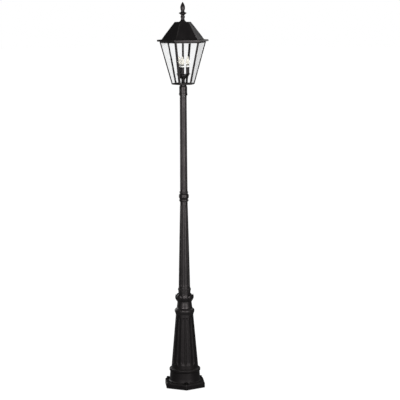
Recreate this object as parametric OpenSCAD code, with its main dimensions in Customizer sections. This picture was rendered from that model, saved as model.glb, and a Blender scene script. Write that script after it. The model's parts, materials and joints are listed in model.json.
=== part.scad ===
// Cast-iron street lamp post: a two-stage fluted shaft on a bell base, and a
// six-sided glazed lantern that holds three candle lamps.
// Millimetres, +Z up. The origin is the centre of the foot plate's underside.

/* [Foot] */
// Corner radius of the hexagonal foot plate
plate_r = 194; // [188:1:220]
// Height of the foot plate
plate_h = 48; // [40:1:60]
// Bolt circle of the three anchor bolts
anchor_pcd = 330; // [326:1:336]
// Diameter of each anchor hole
anchor_hole_d = 18; // [17.5:0.5:22]
// Diameter of the cable entry in the foot plate
cable_entry_d = 40; // [20:1:44]
// Radius of the skirt at the foot plate
skirt_foot_r = 142; // [138:1:146]
// Radius of the skirt under its roll moulding
skirt_head_r = 129; // [126:1:134]
// Height of the conical skirt
skirt_h = 90; // [60:1:120]
// Radius over the roll moulding
roll_r = 135.5; // [132:0.5:138]
// Height of the roll moulding
roll_h = 30; // [24:1:36]

/* [Bell] */
// Height of the fluted bell
bell_h = 472; // [400:1:600]
// Radius at the foot of the bell
bell_foot_r = 118; // [112:1:124]
// Radius at the head of the bell
bell_head_r = 76.5; // [74:0.5:80]
// Depth of the bell's flutes
bell_flute_depth = 6; // [3:0.5:8]
// Thickness of the bell's wall between flutes
bell_wall = 12; // [10:0.5:16]
// Number of flutes round the bell and round each shaft
flutes = 16; // [12:1:18]

/* [Collars] */
// Largest radius of the collar above the bell
collar_r = 86.5; // [82:0.5:92]
// Height of the collar moulding
collar_h = 62; // [54:1:72]
// Height of the neck between collar and leaves
neck_h = 54; // [40:1:80]
// Radius of the neck
neck_r = 62; // [58:0.5:66]
// Radius over the leaves
leaf_r = 80.5; // [74:0.5:86]
// Height of the leaves
leaf_h = 62; // [54:1:72]
// Number of leaves
leaves = 8; // [6:1:12]
// Height from the leaf tips to the bead ring
leaf_neck_h = 27; // [20:1:40]
// Radius over the bead ring
bead_ring_r = 57.5; // [55:0.5:60]
// Height of the bead ring
bead_ring_h = 32; // [26:1:40]

/* [Shafts] */
// Height of the lower shaft
lower_h = 750; // [500:5:1200]
// Radius at the foot of the lower shaft
lower_foot_r = 50.3; // [46:0.1:54]
// Radius at the head of the lower shaft
lower_head_r = 32.8; // [32:0.1:34]
// Height of the knuckle between the shafts
knuckle_h = 100; // [90:1:120]
// Radius over the knuckle's bead
knuckle_r = 42.2; // [40:0.1:46]
// Height of the upper shaft
upper_h = 825; // [500:5:1200]
// Radius at the head of the upper shaft
upper_head_r = 29.8; // [29:0.1:31]
// Depth of the shafts' flutes at their foot
shaft_flute_depth = 2.2; // [1:0.1:2.5]

/* [Core] */
// Outer diameter of the core pipe
pipe_d = 48.3; // [48:0.1:48.3]
// Wall thickness of the core pipe
pipe_wall = 3.7; // [2.5:0.1:4.5]

/* [Lantern] */
// Turn of the lantern from the foot's hexagon
lantern_turn = -22.5; // [-60:0.5:60]
// Corner radius at the foot of the glazing
cage_foot_r = 103; // [90:1:110]
// Corner radius at the head of the glazing
cage_head_r = 201; // [180:1:208]
// Height of the glazing
cage_h = 344; // [310:1:360]
// Face width of a corner bar
bar_w = 16; // [12:0.5:20]
// Thickness of the corner bars' metal
bar_t = 3; // [2:0.5:4]
// Thickness of the glass
glass_t = 3; // [2.5:0.5:4]
// Corner radius of the eave
eave_r = 226; // [210:1:240]
// Thickness of the eave
eave_t = 16; // [10:1:20]
// Corner radius at the foot of the roof
roof_foot_r = 188; // [186:1:200]
// Corner radius of the roof's flat top
roof_head_r = 71; // [60:1:90]
// Height of the roof
roof_h = 150; // [120:1:190]
// Thickness of the roof's metal
roof_t = 3; // [2:0.5:4]
// Height of the finial
finial_h = 170; // [150:1:190]

/* [Lamps] */
// Radius of the circle that the candles stand on
candle_circle_r = 43; // [40:0.5:46]
// Turn of the candles from the foot's front corner
candle_turn = -11; // [-60:1:60]
// Outer diameter of a candle sleeve
sleeve_d = 31; // [30.5:0.1:32]
// Height of a candle sleeve
sleeve_h = 63; // [55:1:75]
// Greatest diameter of a lamp's glass
bulb_d = 35; // [32:0.5:38]
// Height of a lamp's glass
bulb_h = 69; // [60:1:80]

/* [Hidden] */
$fn = 64;

// Colours
iron = "#2b2a2c";
lantern_black = "#1f1f21";
steel = "#8c8f92";
brass = "#b08d4a";
clear_glass = [0.85, 0.9, 0.92, 0.3];
frosted = "#f4f0e6";
porcelain = "#e9e7e1";
cable_grey = "#3a3a3c";

// Heights of the joints between the stacked castings
skirt_z = plate_h;
roll_z = skirt_z + skirt_h;
bell_z = roll_z + roll_h;
collar_z = bell_z + bell_h;
neck_z = collar_z + collar_h;
leaf_z = neck_z + neck_h;
leaf_neck_z = leaf_z + leaf_h;
bead_ring_z = leaf_neck_z + leaf_neck_h;
lower_z = bead_ring_z + bead_ring_h;
knuckle_z = lower_z + lower_h;
upper_z = knuckle_z + knuckle_h;
fitter_z = upper_z + upper_h;

// Core pipe
pipe_r = pipe_d / 2;
pipe_seat_z = 12;
pipe_top_z = fitter_z + 80;
casting_bore_r = pipe_r + 0.35;
slack = 0.3;

// Lantern heights
pan_z = pipe_top_z + 15;
pan_h = 13;
cage_z = pan_z + pan_h;
rail_z = cage_z + cage_h;
rail_h = 12;
eave_z = rail_z + rail_h;
roof_z = eave_z + eave_t;
roof_top_z = roof_z + roof_h;
face_count = 6;
hex = 360 / face_count;

// Cluster and candles
stem_r = 17.5;
bowl_z = cage_z + 36;
cover_z = bowl_z + 32;
cover_t = 3;
cover_r = 51;
cup_z = cover_z + cover_t;
sleeve_z = cup_z + 3;
sleeve_wall = 1.2;
holder_top_z = sleeve_z + sleeve_h + 14;
bulb_z = holder_top_z + 9;
lamp_base_r = 13.1;
holder_bore_r = lamp_base_r + slack;
nipple_r = 6.5;
rod_r = 8;
stud_r = 5;

// Fasteners
anchor_nut_r = 13.86;
anchor_nut_h = 13;
anchor_washer_r = 15;
anchor_washer_h = 3;
nut_bore_r = anchor_hole_d / 2 - 0.4;
set_screw_r = 4;
set_screw_z = fitter_z + 48;
pan_screw_circle_r = 24.5;

// Points of an arc about [x, y] from angle a to angle b
function arc(x, y, r, a, b, n = 8) =
    [for (i = [0:n]) [x + r * cos(a + (b - a) * i / n), y + r * sin(a + (b - a) * i / n)]];

// Outline of a fluted shaft: round ridges between scooped flutes
function fluted(r, depth, n, steps = 8) =
    [for (i = [0:n * steps - 1])
        let (s = abs(sin(180 * i / steps)), rr = r - depth * pow(s, 0.8))
        [rr * cos(360 * i / (n * steps)), rr * sin(360 * i / (n * steps))]];

// Ring turned from an outline that climbs its outer side, with a straight bore
module turned(outline, bore) {
    rotate_extrude()
        polygon(concat([[bore, outline[0][1]]], outline, [[bore, outline[len(outline) - 1][1]]]));
}

// Hexagonal prism or frustum with a corner on +X
module hex_frustum(z, h, r_foot, r_head) {
    translate([0, 0, z])
        cylinder(h = h, r1 = r_foot, r2 = r_head, $fn = face_count);
}

module in_lantern() {
    rotate(lantern_turn + 30)
        children();
}

module at_candle(i) {
    rotate(candle_turn - 90 + 120 * (i - 1))
        translate([candle_circle_r, 0, 0])
            children();
}

module at_anchors() {
    for (i = [0:2])
        rotate(-90 + 120 * i)
            translate([anchor_pcd / 2, 0, 0])
                children();
}

// Hexagonal foot plate; the core pipe screws into its counterbore
module base_plate() {
    ground_hole_r = 3.1;
    color(iron)
        difference() {
            rotate(30)
                cylinder(h = plate_h, r = plate_r, $fn = face_count);
            translate([0, 0, -1])
                cylinder(h = plate_h + 2, r = cable_entry_d / 2);
            translate([0, 0, pipe_seat_z])
                cylinder(h = plate_h, r = pipe_r);
            at_anchors()
                translate([0, 0, -1])
                    cylinder(h = plate_h + 2, r = anchor_hole_d / 2);
            translate([80, 0, plate_h - 15])
                cylinder(h = 16, r = ground_hole_r);
        }
}

module anchor_washers() {
    color(steel)
        at_anchors()
            translate([0, 0, plate_h])
                difference() {
                    cylinder(h = anchor_washer_h, r = anchor_washer_r);
                    translate([0, 0, -1])
                        cylinder(h = anchor_washer_h + 2, r = nut_bore_r + 0.1);
                }
}

module anchor_nuts() {
    color(steel)
        at_anchors()
            translate([0, 0, plate_h + anchor_washer_h])
                difference() {
                    cylinder(h = anchor_nut_h, r = anchor_nut_r, $fn = 6);
                    translate([0, 0, -1])
                        cylinder(h = anchor_nut_h + 2, r = nut_bore_r);
                }
}

module pipe_lock_nut() {
    lock_nut_h = 12;
    color(steel)
        translate([0, 0, plate_h])
            difference() {
                cylinder(h = lock_nut_h, r = 38, $fn = 6);
                translate([0, 0, -1])
                    cylinder(h = lock_nut_h + 2, r = pipe_r);
            }
}

// Steel pipe that every casting of the post is threaded over
module core_pipe() {
    color(steel)
        translate([0, 0, pipe_seat_z])
            difference() {
                cylinder(h = pipe_top_z - pipe_seat_z, r = pipe_r);
                translate([0, 0, -1])
                    cylinder(h = pipe_top_z, r = pipe_r - pipe_wall);
            }
}

module ground_screw() {
    color(brass)
        translate([80, 0, plate_h - 12]) {
            cylinder(h = 12, r = 3);
            translate([0, 0, 12])
                cylinder(h = 5, r = 6.5);
        }
}

// Conical skirt with a roll moulding on top
module foot_skirt() {
    wall = 10;
    bead_h = roll_h / 2;
    outline = concat(
        [[skirt_foot_r, skirt_z], [skirt_head_r, roll_z]],
        arc(roll_r - bead_h, roll_z + bead_h, bead_h, -70, 70),
        [[bell_foot_r + 2, bell_z]]
    );
    color(iron)
        difference() {
            turned(outline, 40);
            translate([0, 0, skirt_z - 1])
                cylinder(h = roll_z - skirt_z + 1, r1 = skirt_foot_r - wall, r2 = skirt_head_r - wall);
            translate([0, 0, roll_z - 0.01])
                cylinder(h = roll_h + 1, r = bell_foot_r - bell_wall);
        }
}

// One flute cutter: a long round scoop that narrows up the bell
module bell_flute() {
    scoop_foot_r = 26;
    scoop_head_r = 16;
    end_gap = 14;
    length = bell_h - 2 * end_gap;
    lean = atan((bell_foot_r - bell_head_r) / bell_h);
    translate([bell_foot_r + scoop_foot_r - bell_flute_depth, 0, bell_z + end_gap])
        rotate([0, -lean - atan((scoop_foot_r - scoop_head_r) / length), 0])
            rotate_extrude()
                polygon([[0, 0], [scoop_foot_r, 18], [scoop_head_r, length - 12], [0, length]]);
}

// Bell base with round-ended flutes
module bell() {
    color(iron)
        difference() {
            translate([0, 0, bell_z])
                cylinder(h = bell_h, r1 = bell_foot_r, r2 = bell_head_r);
            translate([0, 0, bell_z - 0.01])
                cylinder(h = bell_h + 0.02, r1 = bell_foot_r - bell_wall, r2 = bell_head_r - bell_wall);
            for (i = [0:flutes - 1])
                rotate(-90 + 360 * (i + 0.5) / flutes)
                    bell_flute();
        }
}

// Ogee collar and tapering neck above the bell
module bell_collar() {
    outline = concat(
        [[bell_head_r, collar_z], [collar_r - 5, collar_z + 16]],
        arc(collar_r - 9, collar_z + 34, 9, -60, 70),
        [[neck_r + 8, neck_z - 6], [neck_r + 6, neck_z], [neck_r + 1, leaf_z]]
    );
    color(iron)
        turned(outline, casting_bore_r);
}

// Flared collar of upturned leaves, with a dished top
module leaf_collar() {
    notch_r = 9;
    dish_r = 53;
    outline = [
        [neck_r + 1, leaf_z], [leaf_r - 11, leaf_z + 9], [leaf_r - 4, leaf_z + 19],
        [leaf_r, leaf_z + 35], [leaf_r - 3.5, leaf_neck_z], [leaf_r - 12, leaf_neck_z - 7],
        [dish_r, leaf_neck_z - 14], [dish_r, bead_ring_z]
    ];
    color(iron)
        difference() {
            turned(outline, casting_bore_r);
            for (i = [0:leaves - 1])
                rotate(-90 + 360 * (i + 0.5) / leaves)
                    translate([leaf_r + 2, 0, leaf_z + 30])
                        cylinder(h = leaf_h, r = notch_r);
        }
}

// Ring moulding carved with beads, under the lower shaft
module bead_ring() {
    half = bead_ring_h / 2;
    outline = concat(
        [[bead_ring_r - 5, bead_ring_z]],
        arc(bead_ring_r - half + 1, bead_ring_z + half, half - 1, -65, 65),
        [[lower_foot_r + 1, lower_z]]
    );
    color(iron)
        difference() {
            turned(outline, casting_bore_r);
            for (i = [0:flutes - 1])
                rotate(-90 + 360 * i / flutes)
                    translate([bead_ring_r + 1.5, 0, bead_ring_z - 1])
                        cylinder(h = bead_ring_h + 2, r = 3);
        }
}

// Tapering fluted tube
module fluted_shaft(z, h, r_foot, r_head, wall) {
    difference() {
        translate([0, 0, z])
            rotate(-90)
                linear_extrude(height = h, scale = r_head / r_foot)
                    polygon(fluted(r_foot, shaft_flute_depth, flutes));
        translate([0, 0, z - 0.01])
            cylinder(h = h + 0.02, r1 = max(r_foot - wall, casting_bore_r), r2 = casting_bore_r);
    }
}

module lower_shaft() {
    color(iron)
        fluted_shaft(lower_z, lower_h, lower_foot_r, lower_head_r, 10);
}

module upper_shaft() {
    color(iron)
        fluted_shaft(upper_z, upper_h, lower_head_r, upper_head_r, 10);
}

// Turned knuckle: a fat bead between two rings
module knuckle() {
    ring_r = 39.4;
    top_ring_r = 37;
    outline = concat(
        [[lower_head_r, knuckle_z], [ring_r - 5, knuckle_z + 8]],
        arc(ring_r - 5, knuckle_z + 18, 5, -90, 90),
        [[ring_r - 4, knuckle_z + 27]],
        arc(knuckle_r - 14, knuckle_z + 55, 14, -80, 80, 10),
        [[top_ring_r - 3, knuckle_z + 80]],
        arc(top_ring_r - 3.5, knuckle_z + 88, 3.5, -90, 90),
        [[lower_head_r, knuckle_z + knuckle_h]]
    );
    color(iron)
        turned(outline, casting_bore_r);
}

// Round nut that clamps the stack of castings down the core pipe
module top_nut() {
    nut_h = 10;
    color(steel)
        translate([0, 0, fitter_z])
            difference() {
                cylinder(h = nut_h, r = pipe_r + 4);
                translate([0, 0, -1])
                    cylinder(h = nut_h + 2, r = pipe_r);
            }
}

// Cable up the core pipe; its plug end stands in the foot
module supply_cable() {
    cable_r = 5.5;
    plug_r = 12;
    color(cable_grey) {
        translate([0, 0, 100])
            cylinder(h = 60, r = plug_r);
        translate([0, 0, 160])
            cylinder(h = pipe_top_z - 60 - 160, r = cable_r);
    }
}

// Post-top fitter: turns on the core pipe and is clamped by three set screws
module fitter() {
    bottom_gap = 1;
    z = fitter_z + bottom_gap;
    nut_room_r = pipe_r + 6.5;
    nut_room_z = fitter_z + 16;
    body_r = 34.6;
    bead = 11;
    outline = concat(
        [[body_r - 1, z]],
        arc(37 - bead, z + bead, bead, -60, 60),
        [[body_r, z + 2 * bead], [body_r, pan_z - 19], [29, pan_z - 9], [29, pan_z]]
    );
    color(lantern_black)
        difference() {
            turned(outline, 18);
            translate([0, 0, fitter_z])
                cylinder(h = nut_room_z - fitter_z, r = nut_room_r);
            translate([0, 0, fitter_z])
                cylinder(h = pipe_top_z - fitter_z, r = pipe_r + slack);
            for (i = [0:2])
                rotate(lantern_turn - 60 + 120 * i)
                    translate([pipe_r - 3, 0, set_screw_z])
                        rotate([0, 90, 0])
                            cylinder(h = 20, r = set_screw_r + 0.05);
            pan_screw_places(pan_z - 11)
                cylinder(h = 12, r = 2.6);
        }
}

module pan_screw_places(z) {
    for (i = [0:2])
        rotate(lantern_turn + 120 * i)
            translate([pan_screw_circle_r, 0, z])
                children();
}

module pan_screws() {
    color(steel)
        pan_screw_places(pan_z - 10) {
            cylinder(h = 10 + pan_h, r = 2.5);
            translate([0, 0, 10 + pan_h])
                cylinder(h = 3, r = 4.5);
        }
}

// Grub screw with a hexagon socket
module set_screw(i) {
    tip_r = pipe_r + slack;
    color(steel)
        rotate(lantern_turn - 60 + 120 * (i - 1))
            translate([tip_r, 0, set_screw_z])
                rotate([0, 90, 0])
                    difference() {
                        cylinder(h = 10, r = set_screw_r);
                        translate([0, 0, 6])
                            cylinder(h = 5, r = 2.3, $fn = 6);
                    }
}

// Hexagonal tray that the glazing stands on
module bottom_pan() {
    color(lantern_black)
        difference() {
            in_lantern()
                hex_frustum(pan_z, pan_h, cage_foot_r, cage_foot_r);
            translate([0, 0, pan_z - 1])
                cylinder(h = pan_h + 2, r = nipple_r + 0.1);
            pan_screw_places(pan_z - 1)
                cylinder(h = pan_h + 2, r = 2.6);
        }
}

// Angle-section bar on one corner of the glazing
module corner_bar(i) {
    inner_foot_r = cage_foot_r - bar_t / cos(30);
    inner_head_r = cage_head_r - bar_t / cos(30);
    lead = (inner_head_r - inner_foot_r) / cage_h;
    color(lantern_black)
        in_lantern()
            intersection() {
                difference() {
                    hex_frustum(cage_z, cage_h, cage_foot_r, cage_head_r);
                    hex_frustum(cage_z - 1, cage_h + 2, inner_foot_r - lead, inner_head_r + lead);
                }
                rotate(hex * (i - 1))
                    translate([cage_foot_r / 2, -bar_w / 2, cage_z - 1])
                        cube([cage_head_r, bar_w, cage_h + 2]);
            }
}

module top_rail() {
    rail_r = cage_head_r + 2;
    color(lantern_black)
        in_lantern()
            difference() {
                hex_frustum(rail_z, rail_h, rail_r, rail_r);
                hex_frustum(rail_z - 1, rail_h + 2, rail_r - 17, rail_r - 17);
            }
}

// Flat trapezoid of glass behind two corner bars
module pane(i) {
    edge_gap = 3;
    foot_w = cage_foot_r - 2 * bar_t - 2 * edge_gap;
    head_w = cage_head_r - 2 * bar_t - 2 * edge_gap;
    run = (cage_head_r - cage_foot_r) * cos(30);
    lean = atan(run / cage_h);
    height = cage_h - 2;
    length = height / cos(lean);
    face_x = cage_foot_r * cos(30) - (bar_t + slack) / cos(lean) - glass_t * cos(lean);
    color(clear_glass)
        in_lantern()
            rotate(hex * (i - 0.5))
                translate([face_x, 0, cage_z + 1])
                    rotate([0, lean, 0])
                        rotate([90, 0, 90])
                            linear_extrude(height = glass_t)
                                polygon([[-foot_w / 2, 0], [foot_w / 2, 0],
                                         [head_w / 2, length - 1], [-head_w / 2, length - 1]]);
}

// Threaded tube that carries the cluster through the pan
module nipple() {
    color(brass)
        translate([0, 0, pan_z - 12])
            difference() {
                cylinder(h = bowl_z + 4 - pan_z + 12, r = nipple_r);
                translate([0, 0, -1])
                    cylinder(h = bowl_z + 6 - pan_z + 12, r = nipple_r - 1.5);
            }
}

module lock_nut() {
    color(brass)
        translate([0, 0, pan_z - 5])
            difference() {
                cylinder(h = 5, r = 13, $fn = 6);
                translate([0, 0, -1])
                    cylinder(h = 7, r = nipple_r);
            }
}

// Turned stem between the pan and the cluster bowl
module stem() {
    outline = [
        [stem_r, cage_z], [stem_r, cage_z + 5], [stem_r - 2, cage_z + 8],
        [stem_r - 2, bowl_z - 8], [stem_r, bowl_z - 5], [stem_r, bowl_z]
    ];
    color(lantern_black)
        turned(outline, nipple_r + 0.1);
}

// Bowl that hides the lamp wiring
module cluster_bowl() {
    wall = 3;
    outer = [
        [0, bowl_z], [stem_r, bowl_z], [stem_r + 10, bowl_z + 4], [stem_r + 22, bowl_z + 13],
        [stem_r + 29, bowl_z + 23], [cover_r, cover_z]
    ];
    inner = [
        [cover_r - wall, cover_z], [stem_r + 26, bowl_z + 24], [stem_r + 19, bowl_z + 15],
        [stem_r + 8, bowl_z + 7], [0, bowl_z + 4]
    ];
    color(lantern_black)
        difference() {
            rotate_extrude()
                polygon(concat(outer, inner));
            translate([0, 0, bowl_z - 1])
                cylinder(h = 8, r = nipple_r);
        }
}

module cluster_cover() {
    color(lantern_black)
        translate([0, 0, cover_z])
            cylinder(h = cover_t, r = cover_r);
}

// Rod that ties the roof down to the cluster; its stud takes the finial
module tie_rod() {
    color(lantern_black)
        translate([0, 0, cup_z]) {
            cylinder(h = roof_top_z - 17 - cup_z, r = rod_r);
            translate([0, 0, roof_top_z - 17 - cup_z])
                cylinder(h = 42, r = stud_r);
        }
}

// Drip cup under a candle
module bobeche(i) {
    rim_r = 21;
    floor_r = 16.5;
    color(lantern_black)
        at_candle(i)
            rotate_extrude()
                polygon([[0, cup_z], [14.5, cup_z], [rim_r, cup_z + 7], [rim_r - 1.5, cup_z + 8],
                         [floor_r, cup_z + 3], [0, cup_z + 3]]);
}

module candle_sleeve(i) {
    color(lantern_black)
        at_candle(i)
            translate([0, 0, sleeve_z])
                difference() {
                    cylinder(h = sleeve_h, r = sleeve_d / 2);
                    translate([0, 0, -1])
                        cylinder(h = sleeve_h + 2, r = sleeve_d / 2 - sleeve_wall);
                }
}

// Porcelain lampholder: a cup in the sleeve with a collar above it
module lampholder(i) {
    body_r = sleeve_d / 2 - sleeve_wall - 0.2;
    floor_h = 33;
    color(porcelain)
        at_candle(i)
            difference() {
                union() {
                    translate([0, 0, sleeve_z])
                        cylinder(h = sleeve_h + 1, r = body_r);
                    translate([0, 0, sleeve_z + sleeve_h])
                        cylinder(h = 14, r = sleeve_d / 2 - 0.3);
                }
                translate([0, 0, sleeve_z + floor_h])
                    cylinder(h = sleeve_h, r = holder_bore_r);
            }
}

// Lead from the lamp wiring down into the core pipe, with its socket end
module lantern_lead() {
    lead_r = 4;
    socket_z = pipe_top_z - 58;
    color(cable_grey) {
        translate([0, 0, socket_z])
            cylinder(h = 30, r = 12);
        translate([0, 0, socket_z + 30])
            cylinder(h = cover_z - 10 - socket_z - 30, r = lead_r);
    }
}

// Candle-shaped glass envelope
module bulb_glass(i) {
    neck_r = 12.6;
    wide = bulb_d / 2;
    wall = 1;
    wide_z = bulb_z + 24;
    outer = concat(
        [[neck_r, bulb_z], [neck_r + 1.6, bulb_z + 6], [wide - 1, bulb_z + 15], [wide, wide_z]],
        [[wide - 1.2, wide_z + 10], [wide - 5.5, wide_z + 24], [wide - 11, wide_z + 36]],
        [[2.5, bulb_z + bulb_h - 1.5], [0, bulb_z + bulb_h]]
    );
    color(frosted)
        at_candle(i)
            difference() {
                rotate_extrude()
                    polygon(concat([[0, bulb_z]], outer));
                rotate_extrude()
                    polygon([[0, bulb_z + wall], [neck_r - wall, bulb_z + wall],
                             [wide - 2, bulb_z + 15], [wide - wall, wide_z],
                             [wide - 6.6, wide_z + 24], [0, wide_z + 38]]);
            }
}

// Screw base of a lamp, with its contact below
module bulb_base(i) {
    color(brass)
        at_candle(i)
            translate([0, 0, bulb_z])
                rotate_extrude()
                    polygon([[0, -34], [4, -34], [11, -29], [lamp_base_r, -26], [lamp_base_r, 0], [0, 0]]);
}

// Sheet-metal roof: a hexagonal frustum closed by a flat top
module roof() {
    slope = (roof_foot_r - roof_head_r) / roof_h;
    inner_foot_r = roof_foot_r - roof_t / cos(30) * sqrt(1 + pow(slope * cos(30), 2));
    color(lantern_black)
        difference() {
            in_lantern()
                difference() {
                    hex_frustum(roof_z, roof_h, roof_foot_r, roof_head_r);
                    hex_frustum(roof_z - 1, roof_h + 1 - roof_t,
                                inner_foot_r + slope, inner_foot_r - slope * (roof_h - roof_t));
                }
            translate([0, 0, roof_top_z - roof_t - 1])
                cylinder(h = roof_t + 2, r = stud_r + 0.5);
        }
}

// Projecting eave under the roof
module eave_flange() {
    color(lantern_black)
        in_lantern()
            difference() {
                hex_frustum(eave_z, eave_t, eave_r, eave_r);
                hex_frustum(eave_z - 1, eave_t + 2, roof_foot_r - 10, roof_foot_r - 10);
            }
}

// Turned finial: flared foot, bead, sharp disc and a bud
module finial() {
    z = roof_top_z + slack;
    stretch = finial_h / 170;
    outline = [
        [29, 0], [29, 3], [21, 9], [16.5, 19], [15.6, 27], [17.5, 36], [19.4, 43], [17.5, 49],
        [15.4, 53], [18, 60], [28, 69], [33.5, 74], [28, 77], [18, 82], [15, 91], [16, 97],
        [18.6, 108], [19.6, 119], [18.4, 131], [14.5, 144], [9, 155], [4.5, 164], [0, 170]
    ];
    color(lantern_black)
        difference() {
            translate([0, 0, z])
                rotate_extrude()
                    polygon(concat([[0, 0]], [for (p = outline) [p[0], p[1] * stretch]]));
            translate([0, 0, z - 1])
                cylinder(h = 31, r = stud_r + slack);
        }
}

base_plate();
anchor_washers();
anchor_nuts();
pipe_lock_nut();
core_pipe();
ground_screw();
foot_skirt();
bell();
bell_collar();
leaf_collar();
bead_ring();
lower_shaft();
knuckle();
upper_shaft();
top_nut();
supply_cable();
fitter();
pan_screws();
bottom_pan();
corner_bar(1);  // corner_bar_1
corner_bar(2);  // corner_bar_2
corner_bar(3);  // corner_bar_3
corner_bar(4);  // corner_bar_4
corner_bar(5);  // corner_bar_5
corner_bar(6);  // corner_bar_6
top_rail();
pane(1);  // pane_1
pane(2);  // pane_2
pane(3);  // pane_3
pane(4);  // pane_4
pane(5);  // pane_5
pane(6);  // pane_6
nipple();
lock_nut();
stem();
cluster_bowl();
cluster_cover();
tie_rod();
bobeche(1);  // bobeche_1
bobeche(2);  // bobeche_2
bobeche(3);  // bobeche_3
candle_sleeve(1);  // candle_sleeve_1
candle_sleeve(2);  // candle_sleeve_2
candle_sleeve(3);  // candle_sleeve_3
lampholder(1);  // lampholder_1
lampholder(2);  // lampholder_2
lampholder(3);  // lampholder_3
lantern_lead();
bulb_glass(1);  // bulb_glass_1
bulb_glass(2);  // bulb_glass_2
bulb_glass(3);  // bulb_glass_3
bulb_base(1);  // bulb_base_1
bulb_base(2);  // bulb_base_2
bulb_base(3);  // bulb_base_3
roof();
eave_flange();
finial();
set_screw(1);  // set_screw_1
set_screw(2);  // set_screw_2
set_screw(3);  // set_screw_3
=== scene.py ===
# %% [markdown]
# # A cast lamp post with a six-sided lantern
# The post is a stack of iron castings threaded over a steel pipe, and the lantern is a glazed
# cage with a sheet-metal roof. The packed model gives every size and place. This script gives
# each visible piece its finished shape and its paint, glass or metal.

# %% Load the frame
import json
from math import atan2, cos, hypot, pi, radians, sin, tan

import bpy
import numpy as np
from mathutils import Matrix, Vector


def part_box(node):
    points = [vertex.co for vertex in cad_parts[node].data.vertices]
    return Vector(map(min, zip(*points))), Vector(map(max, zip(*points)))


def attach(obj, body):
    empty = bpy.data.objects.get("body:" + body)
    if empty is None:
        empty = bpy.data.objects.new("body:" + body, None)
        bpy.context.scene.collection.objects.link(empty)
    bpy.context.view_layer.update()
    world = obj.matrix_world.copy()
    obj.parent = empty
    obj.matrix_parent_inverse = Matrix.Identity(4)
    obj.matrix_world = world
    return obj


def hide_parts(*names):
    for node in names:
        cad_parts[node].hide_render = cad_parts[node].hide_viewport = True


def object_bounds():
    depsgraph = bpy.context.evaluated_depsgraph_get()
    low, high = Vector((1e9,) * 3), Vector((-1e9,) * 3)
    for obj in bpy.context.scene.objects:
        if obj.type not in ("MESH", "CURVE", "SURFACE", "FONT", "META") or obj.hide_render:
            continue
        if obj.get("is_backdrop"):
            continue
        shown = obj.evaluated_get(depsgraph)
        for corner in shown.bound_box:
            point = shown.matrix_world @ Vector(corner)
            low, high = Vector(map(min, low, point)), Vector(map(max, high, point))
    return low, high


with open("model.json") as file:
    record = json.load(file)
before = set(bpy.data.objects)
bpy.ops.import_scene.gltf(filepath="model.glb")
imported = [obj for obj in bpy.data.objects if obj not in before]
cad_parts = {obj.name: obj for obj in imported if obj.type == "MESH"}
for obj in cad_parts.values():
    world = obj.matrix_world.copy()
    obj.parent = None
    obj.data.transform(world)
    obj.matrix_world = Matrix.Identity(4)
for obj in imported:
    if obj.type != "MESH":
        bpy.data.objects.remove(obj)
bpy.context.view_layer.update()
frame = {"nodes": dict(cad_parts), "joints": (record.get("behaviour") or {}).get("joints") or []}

MM = 0.001

# %% [markdown]
# ## Camera
# A long lens from far away keeps the post's sides nearly parallel. The camera stands level
# with the roof, so the eave is seen edge on and the foot from well above. It could be aimed
# with a constraint, but a plain matrix states its heading, pitch and roll openly.

# %% Camera
VIEW_AZIMUTH = -4.15
CAMERA_DISTANCE = 13.2
CAMERA_HEIGHT = 3.395
CAMERA_PITCH = 7.549
CAMERA_ROLL = -0.278
AIM_RIGHT = 0.608
FOCAL_MM = 138.13
SENSOR_MM = 36


def around(azimuth, distance, height):
    """The point at that azimuth, measured from -Y towards +X, and that distance from the Z axis."""
    turn = radians(azimuth)
    return Vector((sin(turn) * distance, -cos(turn) * distance, height))


def turned(axis, angle):
    """A rotation matrix about one axis, with the angle in degrees."""
    return Matrix.Rotation(radians(angle), 4, axis)


def aimed(axis, direction):
    """A rotation matrix that turns an axis, such as Z or -Z, to a direction."""
    return Vector(direction).to_track_quat(axis, "Y").to_matrix().to_4x4()


lens = bpy.data.cameras.new("lens")
lens.lens = FOCAL_MM
lens.sensor_width = SENSOR_MM
camera = bpy.data.objects.new("camera", lens)
bpy.context.scene.collection.objects.link(camera)
bpy.context.scene.camera = camera
stand = Matrix.Translation(around(VIEW_AZIMUTH, CAMERA_DISTANCE, CAMERA_HEIGHT))
heading = turned("Z", VIEW_AZIMUTH - AIM_RIGHT)
camera.matrix_world = stand @ heading @ turned("X", 90 - CAMERA_PITCH) @ turned("Z", CAMERA_ROLL)
bpy.context.scene.view_settings.view_transform = "Standard"
print("camera at", [round(v, 3) for v in camera.location])

# %% [markdown]
# ## Studio light
# Black paint shows its form by what it mirrors. Two tall soft boxes in front give the pair of
# soft vertical streaks on the shaft, and two dim panels behind light one roof face and the back.
# Their lower ends stop short of the ground, so the light fades down the post.

# %% Soft boxes


def soft_box(name, azimuth, distance, height, width, tall, watts, target):
    """An area light on a circle round the post, aimed at the post's axis at height target."""
    box = bpy.data.lights.new(name, "AREA")
    box.shape = "RECTANGLE"
    box.size = width
    box.size_y = tall
    box.energy = watts
    place = around(VIEW_AZIMUTH + azimuth, distance, height)
    lamp = bpy.data.objects.new(name, box)
    lamp.matrix_world = Matrix.Translation(place) @ aimed("-Z", Vector((0, 0, target)) - place)
    bpy.context.scene.collection.objects.link(lamp)


soft_box("left_box", -17, 5.0, 2.6, 2.0, 2.8, 178, 2.4)
soft_box("right_box", 33, 5.0, 2.35, 1.8, 3.1, 160, 2.3)
soft_box("back_panel_right", 148, 4.5, 3.9, 1.8, 3.0, 23, 2.8)
soft_box("back_panel_left", -140, 5.0, 2.0, 1.4, 3.6, 70, 1.8)
print("two soft boxes in front and two panels behind")

# %% [markdown]
# ## Surround and floor
# Black paint needs a dim surround to stay black, yet the picture needs a white one. So the
# surround and the floor answer a ray by its kind: white when seen, dim when mirrored.

# %% Surround and floor


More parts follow.
